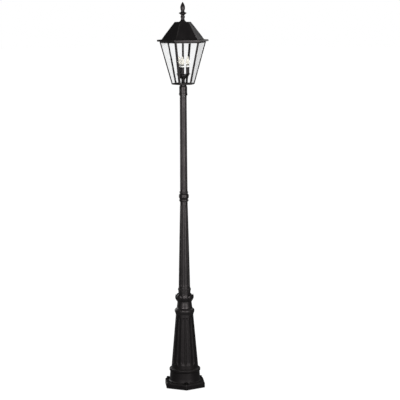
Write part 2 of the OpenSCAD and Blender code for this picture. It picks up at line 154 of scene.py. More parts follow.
def value_by_ray(nodes, links, seen, scattered, mirrored):
    """A value that depends on where a ray comes from: seen directly or through glass,
    scattered by a matt surface, or mirrored by a glossy one."""
    path = nodes.new("ShaderNodeLightPath")
    total = mirrored
    for kind, value in (("Is Diffuse Ray", scattered), ("Is Transmission Ray", seen),
                        ("Is Camera Ray", seen)):
        swap = nodes.new("ShaderNodeMix")
        links.new(path.outputs[kind], swap.inputs[0])
        if isinstance(total, float):
            swap.inputs[2].default_value = total
        else:
            links.new(total, swap.inputs[2])
        swap.inputs[3].default_value = value
        total = swap.outputs[0]
    return total


world = bpy.data.worlds.new("studio")
world.use_nodes = True
bpy.context.scene.world = world
nodes, links = world.node_tree.nodes, world.node_tree.links
nodes.clear()
surround = nodes.new("ShaderNodeBackground")
surround.inputs["Color"].default_value = (1, 1, 1, 1)
out = nodes.new("ShaderNodeOutputWorld")
strength = value_by_ray(nodes, links, seen=1.0, scattered=0.6, mirrored=0.05)
links.new(strength, surround.inputs["Strength"])
links.new(surround.outputs[0], out.inputs[0])

FLOOR_RADIUS = 90.0
FLOOR_SIDES = 96
FLOOR_HEIGHT = -0.0005
floor_mesh = bpy.data.meshes.new("floor")
rim = np.linspace(0, 2 * pi, FLOOR_SIDES, endpoint=False)
floor_mesh.from_pydata(
    np.column_stack([FLOOR_RADIUS * np.cos(rim), FLOOR_RADIUS * np.sin(rim),
                     np.full(FLOOR_SIDES, FLOOR_HEIGHT)]).tolist(), [], [list(range(FLOOR_SIDES))])
floor = bpy.data.objects.new("floor", floor_mesh)
bpy.context.scene.collection.objects.link(floor)
floor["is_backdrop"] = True
pale = bpy.data.materials.new("pale_floor")
pale.use_nodes = True
nodes, links = pale.node_tree.nodes, pale.node_tree.links
nodes.clear()
matt = nodes.new("ShaderNodeBsdfDiffuse")
matt.inputs["Color"].default_value = (0.12, 0.12, 0.12, 1)
glow = nodes.new("ShaderNodeEmission")
both = nodes.new("ShaderNodeAddShader")
out = nodes.new("ShaderNodeOutputMaterial")
strength = value_by_ray(nodes, links, seen=0.95, scattered=0.0, mirrored=0.0)
links.new(strength, glow.inputs["Strength"])
links.new(matt.outputs[0], both.inputs[0])
links.new(glow.outputs[0], both.inputs[1])
links.new(both.outputs[0], out.inputs[0])
floor_mesh.materials.append(pale)
print("a surround that mirrors dimly, and a pale floor")

# %% [markdown]
# ## Finishes
# Every finish is made from noise read in object space, so nothing slides when a part moves.
# The castings are painted over a sand-cast skin: a low swell, a fine grain and thinner paint
# on the crests. Each mesh carries how sharp it is at every point in an attribute named
# worn, and the paint reads it there. A small class keeps the node wiring short.

# %% Node helpers


class Finish:
    """A material under construction, with short ways to add and join nodes."""

    def __init__(self, name, **shader_values):
        self.material = bpy.data.materials.new(name)
        self.material.use_nodes = True
        self.tree = self.material.node_tree
        self.shader = self.tree.nodes["Principled BSDF"]
        self.output = self.tree.nodes["Material Output"]
        self.place = self.add("ShaderNodeTexCoord").outputs["Object"]
        for socket, value in shader_values.items():
            self.shader.inputs[socket.replace("_", " ")].default_value = value

    def add(self, kind, **settings):
        """A new node of that kind with those settings."""
        node = self.tree.nodes.new(kind)
        for key, value in settings.items():
            setattr(node, key, value)
        return node

    def join(self, source, target):
        """Links an output to an input."""
        self.tree.links.new(source, target)

    def feed(self, socket, source):
        """Links an output to an input of the shader."""
        self.join(source, self.shader.inputs[socket])

    def noise(self, size_mm, detail=3, rough=0.55, stretch=(1, 1, 1)):
        """Noise between 0 and 1 whose blobs are about size_mm across."""
        squeeze = self.add("ShaderNodeVectorMath", operation="MULTIPLY")
        squeeze.inputs[1].default_value = stretch
        self.join(self.place, squeeze.inputs[0])
        node = self.add("ShaderNodeTexNoise")
        node.inputs["Scale"].default_value = 1000 / size_mm
        node.inputs["Detail"].default_value = detail
        node.inputs["Roughness"].default_value = rough
        self.join(squeeze.outputs[0], node.inputs["Vector"])
        return node.outputs["Fac"]

    def span(self, source, low, high, start=0.3, end=0.7):
        """source between start and end, spread over low to high and held beyond them."""
        node = self.add("ShaderNodeMapRange", clamp=True)
        for socket, value in zip(node.inputs[1:5], (start, end, low, high)):
            socket.default_value = value
        self.join(source, node.inputs[0])
        return node.outputs[0]

    def times(self, a, b):
        """The product of two outputs or numbers."""
        node = self.add("ShaderNodeMath", operation="MULTIPLY")
        for socket, value in zip(node.inputs, (a, b)):
            if isinstance(value, (int, float)):
                socket.default_value = value
            else:
                self.join(value, socket)
        return node.outputs[0]

    def blend(self, factor, a, b):
        """Colour a where factor is 0 and b where it is 1."""
        node = self.add("ShaderNodeMix", data_type="RGBA")
        self.join(factor, node.inputs[0])
        for socket, value in zip((node.inputs[6], node.inputs[7]), (a, b)):
            if isinstance(value, tuple):
                socket.default_value = (*value, 1)
            else:
                self.join(value, socket)
        return node.outputs[2]

    def attribute(self, name):
        """A value that the mesh carries at its points."""
        return self.add("ShaderNodeAttribute", attribute_name=name).outputs["Fac"]

    def bumps(self, *layers):
        """Stacks bumps, each given as (height, depth in mm), on the shader's normal."""
        normal = None
        for height, depth_mm in layers:
            node = self.add("ShaderNodeBump")
            node.inputs["Distance"].default_value = depth_mm * MM
            self.join(height, node.inputs["Height"])
            if normal is not None:
                self.join(normal, node.inputs["Normal"])
            normal = node.outputs[0]
        self.feed("Normal", normal)


print("a finish can", ", ".join(name for name in vars(Finish) if not name.startswith("_")))

# %% [markdown]
# ### Black paint
# The post and the lantern wear the same satin black. On iron it lies over a grainy cast skin,
# and on sheet metal over a nearly smooth one. A flat black would read as a hole, so the
# colour drifts between two near-blacks, dust greys the ledges and the crests are rubbed.
# The foot and the bell wear a copy with a coarser skin and half the reflection, a painted shade
# that darkens the lowest castings.

# %% Paint finishes
SHEEN = (1.0, 0.91, 0.92, 1)
RUBBED = (0.050, 0.046, 0.044)
DUST = (0.015, 0.014, 0.0125)
SPECK_LIFT = 2.6


def black_paint(name, grain_mm, grain_depth, swell_depth, gloss, shine, dark, light):
    """Satin black paint over metal whose skin has that grain."""
    paint = Finish(name, Metallic=0.0, Specular_IOR_Level=shine, Specular_Tint=SHEEN)
    patches = paint.span(paint.noise(140, 4), 0, 1)
    colour = paint.blend(patches, dark, light)
    speck = paint.span(paint.noise(grain_mm * 1.7, 2), 0, 0.35, 0.52, 0.75)
    colour = paint.blend(speck, colour, tuple(v * SPECK_LIFT for v in light))
    chafed = paint.times(paint.attribute("worn"), paint.span(paint.noise(23, 4), 0.05, 0.6))
    colour = paint.blend(chafed, colour, RUBBED)
    facing = paint.add("ShaderNodeSeparateXYZ")
    paint.join(paint.add("ShaderNodeNewGeometry").outputs["Normal"], facing.inputs[0])
    ledge = paint.span(facing.outputs["Z"], 0, 0.5, 0.75, 1.0)
    dust = paint.times(ledge, paint.span(paint.noise(35, 5), 0.1, 0.8))
    paint.feed("Base Color", paint.blend(dust, colour, DUST))
    paint.feed("Roughness", paint.span(paint.noise(60, 4), gloss - 0.05, gloss + 0.09))
    paint.bumps((paint.noise(grain_mm * 9, 3), swell_depth),
                (paint.noise(grain_mm, 2), grain_depth))
    return paint.material


IRON_TONES = (0.0032, 0.0028, 0.0030), (0.0062, 0.0056, 0.0059)
SHEET_TONES = (0.0030, 0.0027, 0.0029), (0.0056, 0.0051, 0.0054)
CAST_BLACK = black_paint("cast_black", 2.2, 0.10, 0.35, 0.385, 0.5, *IRON_TONES)
# The foot's copy reflects half as much: a painted shade on the foot plate, skirt and bell.
SHADED_FOOT_BLACK = black_paint("shaded_foot_black", 2.6, 0.12, 0.40, 0.40, 0.24, *IRON_TONES)
SHEET_BLACK = black_paint("sheet_black", 1.1, 0.02, 0.10, 0.52, 0.4, *SHEET_TONES)
print("black paint on castings, on the shaded foot and on sheet metal")

# %% [markdown]
# ### Glass
# The panes are clear drawn glass with a faint ripple. The three lamps are frosted and a
# little warm, and a faint painted glow stands in for the light that scatters in them. Light
# has to reach what stands behind a pane, so only a ray that will be seen is bent by it.

# %% Glass finishes


def pane_glass():
    """Clear glass with long faint ripples. It bends what is seen through it, and every other
    ray passes straight on."""
    glass = Finish("pane_glass", Roughness=0.02, IOR=1.2, Transmission_Weight=1.0,
                   Base_Color=(0.965, 0.968, 0.97, 1))
    glass.bumps((glass.noise(38, 2, stretch=(1, 1, 0.25)), 0.35),
                (glass.noise(7, 2, stretch=(1, 1, 0.4)), 0.05))
    open_way = glass.add("ShaderNodeBsdfTransparent")
    open_way.inputs["Color"].default_value = (0.96, 0.965, 0.965, 1)
    choose = glass.add("ShaderNodeMixShader")
    seen = value_by_ray(glass.tree.nodes, glass.tree.links, seen=1.0, scattered=0.0, mirrored=0.0)
    glass.join(seen, choose.inputs[0])
    glass.join(open_way.outputs[0], choose.inputs[1])
    glass.join(glass.shader.outputs[0], choose.inputs[2])
    glass.join(choose.outputs[0], glass.output.inputs[0])
    return glass.material


def frosted_glass():
    """White frosting with a faint painted glow that stands in for light scattered in it."""
    # The emission below is a painted glow that stands in for light scattered in the frosting.
    frost = Finish("frosted_glass", Roughness=0.28, IOR=1.2, Transmission_Weight=0.45,
                   Coat_Weight=0.3, Coat_Roughness=0.12,
                   Emission_Color=(1.0, 0.95, 0.84, 1), Emission_Strength=0.09)
    cloud = frost.span(frost.noise(9, 3), 0, 1)
    frost.feed("Base Color", frost.blend(cloud, (0.93, 0.90, 0.82), (0.97, 0.95, 0.89)))
    frost.bumps((frost.noise(0.8, 2), 0.01))
    return frost.material


PANE_GLASS = pane_glass()
FROSTED_PAINTED_GLOW = frosted_glass()
print("pane glass and frosted glass")

# %% [markdown]
# ### Bare metal, porcelain and cable
# The hidden fasteners are zinc plated: a patchwork of pale crystals with brushed dullness.
# The anchor nuts and the set screws are blacked steel. Brass carries brown tarnish, porcelain
# is a hard white glaze, and the cable is matt rubber.

# %% Small finishes


def bare_metal(name, bright, dull_colour, roughness, crystal_mm):
    """Metal with crystal patches and tarnish."""
    metal = Finish(name, Metallic=1.0)
    crystals = metal.add("ShaderNodeTexVoronoi")
    crystals.inputs["Scale"].default_value = 1000 / crystal_mm
    metal.join(metal.place, crystals.inputs["Vector"])
    shade = metal.add("ShaderNodeSeparateColor")
    metal.join(crystals.outputs["Color"], shade.inputs[0])
    tarnish = metal.span(metal.noise(14, 4), 0, 1, 0.45, 0.7)
    patch = metal.span(shade.outputs[0], 0, 0.35, 0, 1)
    colour = metal.blend(patch, bright, dull_colour)
    metal.feed("Base Color", metal.blend(tarnish, colour, dull_colour))
    metal.feed("Roughness", metal.span(metal.noise(5, 3), roughness - 0.08, roughness + 0.12))
    metal.bumps((metal.noise(1.5, 2), 0.02))
    return metal.material


def porcelain():
    """Thick white glaze with a few grey specks."""
    glaze = Finish("porcelain", Roughness=0.18, Coat_Weight=0.6, Coat_Roughness=0.05)
    speck = glaze.span(glaze.noise(1.2, 1), 0, 0.4, 0.7, 0.78)
    glaze.feed("Base Color", glaze.blend(speck, (0.88, 0.87, 0.84), (0.55, 0.53, 0.5)))
    glaze.bumps((glaze.noise(12, 2), 0.15))
    return glaze.material


def cable_rubber():
    """Matt black sheath with a faint drawn grain along it."""
    sheath = Finish("cable_rubber", Roughness=0.6)
    streak = sheath.span(sheath.noise(3, 3, stretch=(1, 1, 0.05)), 0, 1)
    sheath.feed("Base Color", sheath.blend(streak, (0.028, 0.028, 0.03), (0.05, 0.05, 0.052)))
    sheath.bumps((sheath.noise(1.6, 2, stretch=(1, 1, 0.1)), 0.05))
    return sheath.material


ZINC = bare_metal("zinc_plate", (0.56, 0.57, 0.58), (0.30, 0.30, 0.30), 0.38, 3.0)
BRASS = bare_metal("dull_brass", (0.060, 0.046, 0.028), (0.020, 0.016, 0.012), 0.52, 2.5)
STEEL = bare_metal("blacked_steel", (0.022, 0.021, 0.020), (0.010, 0.009, 0.009), 0.50, 3.0)
PORCELAIN = porcelain()
CABLE = cable_rubber()
print("zinc, brass, steel, porcelain and cable")

# %% [markdown]
# ## Surfaces from arrays
# Each casting is a surface of two parameters: one runs along an outline and the other round
# the post. The outline is a few corners with a fillet at each. A grid of points is worked
# out as one array, and a rule for the neighbours of each point gives the faces.

# %% Outlines and grids
CREST_RADIUS = 2.5
CREASE = 35


def outline(corners, arc_steps=5):
    """A polyline through corners (r, z, fillet) in mm, where each fillet is an arc tangent to
    both sides. The arc turns the direction from the arc's centre evenly between the two
    tangent points. Returns (r, z) rows."""
    corners = np.array(corners, float)
    made = [corners[:1, :2]]
    for before, here, after in zip(corners, corners[1:], corners[2:]):
        if here[2] == 0:
            made.append(here[None, :2])
            continue
        back, ahead = before[:2] - here[:2], after[:2] - here[:2]
        far, near = hypot(*back), hypot(*ahead)
        back, ahead = back / far, ahead / near
        half = np.arccos(np.clip(back @ ahead, -1, 1)) / 2
        cut = min(here[2] / tan(half), 0.48 * far, 0.48 * near)
        radius = cut * tan(half)
        centre = here[:2] + (back + ahead) / hypot(*(back + ahead)) * radius / sin(half)
        start, end = here[:2] + back * cut - centre, here[:2] + ahead * cut - centre
        swing = (atan2(end[1], end[0]) - atan2(start[1], start[0]) + pi) % (2 * pi) - pi
        angles = atan2(start[1], start[0]) + swing * np.linspace(0, 1, arc_steps + 1)
        made.append(centre + radius * np.column_stack([np.cos(angles), np.sin(angles)]))
    made.append(corners[-1:, :2])
    return np.concatenate(made)


def sharpness(grid, loop):
    """How convex the surface is at each grid point, from 0 for flat or hollow to 1 for a crest
    of CREST_RADIUS mm or less. It is the turn per length, along each direction of the grid,
    against the surface's normal."""
    def ahead_behind(axis, wraps):
        ahead, behind = np.roll(grid, -1, axis), np.roll(grid, 1, axis)
        if not wraps:
            last, first = [slice(None)] * 2, [slice(None)] * 2
            last[axis], first[axis] = -1, 0
            ahead[tuple(last)], behind[tuple(first)] = grid[tuple(last)], grid[tuple(first)]
        return ahead - grid, grid - behind

    rows, columns = ahead_behind(0, loop), ahead_behind(1, True)
    normal = np.cross(columns[0] + columns[1], rows[0] + rows[1])
    normal /= np.maximum(np.linalg.norm(normal, axis=2, keepdims=True), 1e-12)
    total = np.zeros(grid.shape[:2])
    for ahead, behind in (rows, columns):
        long = np.maximum(np.linalg.norm(ahead, axis=2, keepdims=True), 1e-6)
        short = np.maximum(np.linalg.norm(behind, axis=2, keepdims=True), 1e-6)
        bend = 2 * (ahead / long - behind / short) / (long + short)
        total += np.maximum(0, -(bend * normal).sum(2))
    return np.clip(total * CREST_RADIUS * MM, 0, 1)


def grid_part(grid, loop=False, poles=(None, None)):
    """(points, faces, worn) of a grid (rows, columns, 3) that closes round its columns. With
    loop the last row joins the first. A pole is a point that closes an open end."""
    rows, columns = grid.shape[:2]
    index = np.arange(rows * columns).reshape(rows, columns)
    if loop:
        index = np.vstack([index, index[:1]])
    beside = np.roll(index, -1, axis=1)
    faces = np.stack([index[:-1], beside[:-1], beside[1:], index[1:]], -1).reshape(-1, 4).tolist()
    points, worn = grid.reshape(-1, 3), sharpness(grid, loop).reshape(-1)
    for pole, edge, flip in ((poles[0], index[0], True), (poles[1], index[-1], False)):
        if pole is None:
            continue
        hub = np.full(columns, len(points))
        points, worn = np.vstack([points, [pole]]), np.append(worn, 0)
        ends = (np.roll(edge, -1), edge) if flip else (edge, np.roll(edge, -1))
        faces += np.column_stack([*ends, hub]).tolist()
    return points, faces, worn


def even_angles(count):
    """That many angles, spread evenly over one turn."""
    return np.linspace(0, 2 * pi, count, endpoint=False)


def ring_points(turn, radius, height):
    """Points (r cos a, r sin a, z) in metres, from the angle a and from r and z in mm."""
    return np.stack(np.broadcast_arrays(
        radius * np.cos(turn), radius * np.sin(turn), height), -1) * MM


def lathe(profile, angles, relief=None):
    """A grid part turned about Z: at angle a the point is (r cos a, r sin a, z). relief(a, r, z)
    adds to r in mm. An outline that starts or ends on the axis is closed there by a pole, and
    any other outline is a loop."""
    poles, loop = [None, None], profile[0, 0] > 0 and profile[-1, 0] > 0
    if profile[0, 0] == 0:
        poles[0] = (0, 0, profile[0, 1] * MM)
        profile = profile[1:]
    if profile[-1, 0] == 0:
        poles[1] = (0, 0, profile[-1, 1] * MM)
        profile = profile[:-1]
    turn, radius = np.meshgrid(angles, profile[:, 0])
    height = np.repeat(profile[:, 1:], len(angles), axis=1)
    if relief is not None:
        radius = radius + relief(turn, radius, height)
    return grid_part(ring_points(turn, radius, height), loop, poles)


def shell(outer, bore):
    """The outline of a hollow casting: up its outside, then down a straight bore."""
    low, high = outer[0, 1], outer[-1, 1]
    return np.vstack([outer, [[bore, high], [bore, low]]])


def moved(part, matrix):
    """The part with its points carried by a 4x4 matrix."""
    points, faces, worn = part
    matrix = np.array(matrix)
    return points @ matrix[:3, :3].T + matrix[:3, 3], faces, worn


def merged(parts):
    """Several parts as one, with the corners of their faces renumbered."""
    points, faces, worn = zip(*parts)
    firsts = np.cumsum([0, *map(len, points)]).tolist()
    corners = [[first + corner for corner in face]
               for first, part_faces in zip(firsts, faces) for face in part_faces]
    return np.vstack(points).tolist(), corners, np.concatenate(worn)


def add_piece(name, parts, body, node, finish, crease=CREASE):
    """Makes one object of several parts, which rides the body and stands for the CAD node.
    Edges sharper than crease degrees stay crisp."""
    points, faces, worn = merged(parts)
    mesh = bpy.data.meshes.new(name)
    mesh.from_pydata(points, [], faces)
    mesh.attributes.new("worn", "FLOAT", "POINT").data.foreach_set("value", worn)
    mesh.shade_smooth()
    mesh.set_sharp_from_angle(angle=radians(crease))
    mesh.materials.append(finish)
    piece = bpy.data.objects.new(name, mesh)
    bpy.context.scene.collection.objects.link(piece)
    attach(piece, body)
    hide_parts(node)
    print(f"{name}: {len(faces)} faces")
    return piece


def z_span(node):
    """The lowest and highest z of a CAD node, in mm."""
    low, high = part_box(node)
    return low.z / MM, high.z / MM


def reach(node):
    """The radius of a turned CAD node, in mm."""
    low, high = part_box(node)
    return (high.x - low.x) / 2 / MM


print(len(outline([(0, 0, 0), (9, 0, 2), (9, 9, 0)])), "points along two sides and a fillet")

# %% [markdown]
# ## Foot plate
# The plate is a thick hexagonal casting with softened corners. Its outline is carried round
# a hexagon whose corners are small arcs, and it turns into a circle at the pipe's bore. The
# anchor holes are cut afterwards, because a boolean keeps their walls truly round.

# %% Hexagonal rings
COS30 = cos(pi / 6)


def hex_lathe(profile, corner_radius, turn, roundness=None, arc_steps=4, flat_steps=1):
    """A grid part carried round a regular hexagon. profile rows are (distance from the axis to
    a flat side, z) in mm. Round each corner the point is the corner arc's centre plus the
    corner radius along the arc; between corners it runs straight. Where roundness is 1, the
    row is a circle instead."""
    flat, height = profile[:, :1], profile[:, 1:]
    corner = np.repeat(np.arange(6) * pi / 3, arc_steps + 1)
    lean = np.tile(np.linspace(-pi / 6, pi / 6, arc_steps + 1), 6)
    arc_radius = np.minimum(corner_radius, flat)
    centre = (flat - arc_radius) / COS30
    x = centre * np.cos(corner) + arc_radius * np.cos(corner + lean)
    y = centre * np.sin(corner) + arc_radius * np.sin(corner + lean)
    if flat_steps > 1:
        x, y = (fill_flats(v, arc_steps + 1, flat_steps) for v in (x, y))
    if roundness is not None:
        angle = np.arctan2(y, x)
        share = np.array(roundness, float)[:, None]
        x = x * (1 - share) + flat * np.cos(angle) * share
        y = y * (1 - share) + flat * np.sin(angle) * share
    swing = radians(turn)
    grid = np.stack([x * cos(swing) - y * sin(swing), x * sin(swing) + y * cos(swing),
                     np.broadcast_to(height, x.shape)], -1) * MM
    return grid_part(grid, loop=True)


def fill_flats(values, per_corner, steps):
    """Adds evenly spaced columns between each corner's last column and the next one's first."""
    rows = len(values)
    values = values.reshape(rows, 6, per_corner)
    start, end = values[:, :, -1:], np.roll(values, -1, axis=1)[:, :, :1]
    between = start + (end - start) * (np.arange(1, steps) / steps)
    return np.concatenate([values, between], axis=2).reshape(rows, -1)


def cut_holes(piece, cutters):
    """Cuts closed grid parts out of a piece with an exact boolean, and applies it."""
    points, faces, _ = merged(cutters)
    mesh = bpy.data.meshes.new("cutter")
    mesh.from_pydata(points, [], faces)
    cutter = bpy.data.objects.new("cutter", mesh)
    bpy.context.scene.collection.objects.link(cutter)
    carve = piece.modifiers.new("holes", "BOOLEAN")
    carve.operation = "DIFFERENCE"
    carve.solver = "EXACT"
    carve.object = cutter
    bpy.context.view_layer.update()
    result = bpy.data.meshes.new_from_object(
        piece.evaluated_get(bpy.context.evaluated_depsgraph_get()))
    piece.modifiers.clear()
    piece.data = result
    result.name = piece.name
    result.set_sharp_from_angle(angle=radians(CREASE))
    bpy.data.objects.remove(cutter)
    print(f"{piece.name}: {len(cutters)} holes cut")


def rod(radius, low, high, columns=48):
    """A closed cylinder between two heights, in mm."""
    return lathe(np.array([[0, low], [radius, low], [radius, high], [0, high]], float),
                 even_angles(columns))


print(f"a hexagon's corner stands {1 / COS30:.4f} times as far out as its side")

# %% [markdown]
# ### The plate itself
# The plate's middle is flat, so the hexagon may turn into a circle there unseen. The pipe
# stands in a seat that leaves a floor, and the cable enters through a smaller hole in it.

# %% Foot plate
PLATE_LOW, PLATE_TOP = z_span("base_plate")
PLATE_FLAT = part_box("base_plate")[1].x / MM
PLATE_MIDDLE = 130.0
PIPE_RADIUS = reach("core_pipe")
PIPE_SEAT = 12.0
ENTRY_RADIUS = 20.0
ANCHORS = [-90, 30, 150]
ANCHOR_CIRCLE = 165.0
HOLE_RADIUS = 9.0

plate_rim = outline([
    (PLATE_FLAT - 30, PLATE_LOW, 0), (PLATE_FLAT, PLATE_LOW, 2), (PLATE_FLAT, PLATE_TOP - 9, 5),
    (PLATE_FLAT - 5, PLATE_TOP, 4), (PLATE_FLAT - 30, PLATE_TOP, 0)])
plate_loop = np.vstack([plate_rim, [
    [PLATE_MIDDLE, PLATE_TOP], [PIPE_RADIUS, PLATE_TOP], [PIPE_RADIUS, PIPE_SEAT],
    [ENTRY_RADIUS, PIPE_SEAT], [ENTRY_RADIUS, PLATE_LOW], [PLATE_MIDDLE, PLATE_LOW]]])
plate_round = [0] * len(plate_rim) + [1] * 6
foot_plate = add_piece(
    "foot_plate", [hex_lathe(plate_loop, 7, 30, plate_round, 5, 8)],
    "post", "base_plate", SHADED_FOOT_BLACK)
cut_holes(foot_plate, [
    moved(rod(HOLE_RADIUS, PLATE_LOW - 5, PLATE_TOP + 5), Matrix.Translation(
        Vector((cos(radians(a)), sin(radians(a)), 0)) * ANCHOR_CIRCLE * MM))
    for a in ANCHORS])

# %% [markdown]
# ## Anchor nuts and washers
# A hexagon nut is a prism cut by a cone at each end, which leaves the curved bevels on its
# corners. Taking the smaller of the prism's radius and the cone's radius at each point
# gives that shape at once. The bore carries a helical thread.

# %% Nuts and washers
NUT_LOW, NUT_HIGH = z_span("anchor_nuts")
WASHER_LOW, WASHER_HIGH = z_span("anchor_washers")


def hexagon_nut(across_flats, low, high, bore, pitch):
    """A nut: outside, r is the smaller of the hexagon's radius and the bevel cone's radius.
    Inside, r is the bore plus a ridge that climbs one pitch a turn."""
    angles = even_angles(84)
    half = across_flats / 2
    prism = half / np.cos((angles + pi / 6) % (pi / 3) - pi / 6)
    outer_z = np.array([0, 0.25, 0.5, 0.75, 1.0, 1.6, 2.4])
    outer_z = np.concatenate([low + outer_z, high - outer_z[::-1]])
    end_gap = np.minimum(outer_z - low, high - outer_z)
    cone = half * 0.97 + end_gap * 1.73
    outside = np.minimum(prism[None], cone[:, None])
    inner_z = np.linspace(high, low, int((high - low) / pitch * 8))
    ridge = np.abs((inner_z[:, None] / pitch - angles[None] / (2 * pi)) % 1 - 0.5) * 2
    inside = bore + 0.55 * ridge * np.clip(
        np.minimum(inner_z - low, high - inner_z), 0, 1)[:, None]
    height = np.concatenate([outer_z, inner_z])[:, None]
    return grid_part(ring_points(angles, np.vstack([outside, inside]), height), loop=True)


def at_anchor(part):
    """The part at each of the three anchor bolts."""
    return [moved(part, turned("Z", a) @ Matrix.Translation((ANCHOR_CIRCLE * MM, 0, 0)))
            for a in ANCHORS]


washer = lathe(outline([(9.2, WASHER_LOW, 0), (15, WASHER_LOW, 0.4), (15, WASHER_HIGH, 0.8),
                        (9.2, WASHER_HIGH, 0.5), (8.7, WASHER_LOW + 1.5, 0)]), even_angles(60))
add_piece("anchor_washer_set", at_anchor(washer), "post", "anchor_washers", STEEL)
add_piece("anchor_nut_set", at_anchor(hexagon_nut(24, NUT_LOW, NUT_HIGH, 8.6, 2.0)),
          "post", "anchor_nuts", STEEL)

# %% [markdown]
# ## Skirt, collars and rings
# These are plain turned mouldings: a cone, a roll, an ogee, a fillet. Each is one outline
# turned round the post. The mouldings overlap nothing, because each outline ends where the
# CAD casting ends.

# %% Turned mouldings
BORE = PIPE_RADIUS + 0.35
SKIRT_BORE = 106
ROUND = even_angles(128)

low, high = z_span("foot_skirt")
skirt = outline([
    (136, low, 0), (142, low, 3), (141.5, low + 5, 2), (136.5, low + 9, 4), (133.5, low + 30, 30),
    (129, high - 34, 8), (130.5, high - 31, 1.5), (135.8, high - 25, 7), (135.8, high - 8, 9),
    (129, high - 3, 3), (122, high - 2, 2), (120, high, 0)], 8)
add_piece("skirt_casting", [lathe(shell(skirt, SKIRT_BORE), ROUND)],
          "post", "foot_skirt", SHADED_FOOT_BLACK)

low, high = z_span("bell_collar")
collar = outline([
    (76, low, 0), (78.5, low, 1), (79, low + 8, 2), (81, low + 12, 1), (84, low + 19, 2),
    (86.6, low + 27, 6), (86.4, low + 41, 8), (80, low + 49, 6), (73, low + 53, 8),
    (68.5, low + 60, 8), (67.4, low + 66, 2), (65, low + 88, 60), (62.5, high - 8, 4),
    (63.5, high - 5, 2), (63.5, high - 1, 1), (62.6, high, 0)], 7)
add_piece("collar_casting", [lathe(shell(collar, BORE), ROUND)],
          "post", "bell_collar", CAST_BLACK)

low, high = z_span("knuckle")
knuckle = outline([
    (31.5, low, 0), (34, low, 1), (34, low + 6, 2), (36, low + 9, 1), (41, low + 13, 4),
    (41, low + 22, 4), (36.4, low + 26.5, 1), (35.2, low + 28.5, 2), (36.6, low + 31, 1),
    (43.2, low + 42, 13), (43.2, low + 66, 13), (36.4, low + 76, 1), (34.2, low + 79, 2),
    (34.2, low + 83, 2), (39, low + 86, 2.5), (39, low + 92, 2.5), (33.8, low + 95.5, 1.2),
    (32.8, high, 0)], 7)
add_piece("knuckle_casting", [lathe(shell(knuckle, BORE), ROUND)],
          "post", "knuckle", CAST_BLACK)

# %% [markdown]
# ## Fluted bell and shafts
# A flute is a long scoop with round ends. One could cut sixteen of them with booleans, but
# the scoop is simple to write down: an ellipse across the flute, and a quarter ellipse at
# each end. Columns crowd at the edges of the flutes, so that the arrises stay crisp.

# %% Fluted castings
FLUTES = 16
FLUTE_SHARE = 0.41
FLUTE_CREASE = 28


def flute_columns(count):
    """Angles round the post: even in the sine across each flute, and three on each ridge."""
    across = FLUTE_SHARE * np.sin(np.linspace(-pi / 2, pi / 2, 11))
    aside = (0.5 - FLUTE_SHARE) * 0.6
    ridge = np.array([0.5 - aside, 0.5, 0.5 + aside])
    one = np.concatenate([across, ridge])
    return (np.arange(count)[:, None] + one[None]).reshape(-1) * 2 * pi / count


def fluted(node, name, radius_at, depths, ends, bore, rows=26, finish=CAST_BLACK):
    """A tapering tube with flutes. The radius is radius_at(z) less depth(z) times the root of
    1 - across^2 - along^2, where across is the place between the flute's edges and along
    rises from 0 to 1 over the flute's round ends."""
    low, high = z_span(node)
    flute_low, flute_high = low + ends[0], high - ends[1]
    round_low, round_high = (
        1.7 * 2 * pi * radius_at(z) / FLUTES * FLUTE_SHARE for z in (flute_low, flute_high))
    swell = 1 - np.cos(np.linspace(0, pi / 2, 9))
    z = np.concatenate([
        [low, (low + flute_low) / 2], flute_low + swell * round_low,
        np.linspace(flute_low + round_low, flute_high - round_high, rows)[1:-1],
        flute_high - swell[::-1] * round_high, [(high + flute_high) / 2, high]])
    angles = flute_columns(FLUTES)
    share = angles * FLUTES / (2 * pi)
    across = (share - np.round(share)) / FLUTE_SHARE
    along = np.maximum(0, np.maximum((flute_low + round_low - z) / round_low,
                                     (z - flute_high + round_high) / round_high))
    scoop = np.sqrt(np.clip(1 - across[None] ** 2 - along[:, None] ** 2, 0, 1))
    depth = np.interp(z, [flute_low, flute_high], depths)[:, None]
    radius = radius_at(z)[:, None] - depth * scoop
    radius = np.vstack([radius, np.full((2, len(angles)), bore)])
    z = np.concatenate([z, [high, low]])
    turn = angles + radians(-90 + 180 / FLUTES)
    grid = ring_points(turn, radius, z[:, None])
    add_piece(name, [grid_part(grid, loop=True)], "post", node, finish, FLUTE_CREASE)


def taper(node, foot, head, waist=0.0):
    """A radius that runs from foot to head, drawn in by waist at mid height."""
    low, high = z_span(node)

    def radius_at(z):
        share = (np.asarray(z) - low) / (high - low)
        return foot + (head - foot) * share - 4 * waist * share * (1 - share)
    return radius_at


fluted("bell", "bell_casting", taper("bell", 118, 76.5), (6.0, 4.0), (31, 18), 64,
       finish=SHADED_FOOT_BLACK)
fluted("lower_shaft", "lower_shaft_casting", taper("lower_shaft", 50.3, 32.8, -0.6),
       (3.0, 1.9), (16, 20), BORE, 18)
fluted("upper_shaft", "upper_shaft_casting", taper("upper_shaft", 32.8, 29.8, 0.55),
       (1.7, 1.4), (14, 16), BORE, 18)

# %% [markdown]
# ## Leaf collar
# Eight broad leaves stand round a dished cup. A leaf is a flattened tube: its cross-section
# is an ellipse that rides up a curved spine, with a rib along the middle of its outer side.

# %% Leaf collar
LEAVES = 8
low, high = z_span("leaf_collar")
LEAF_TIP = high - 27


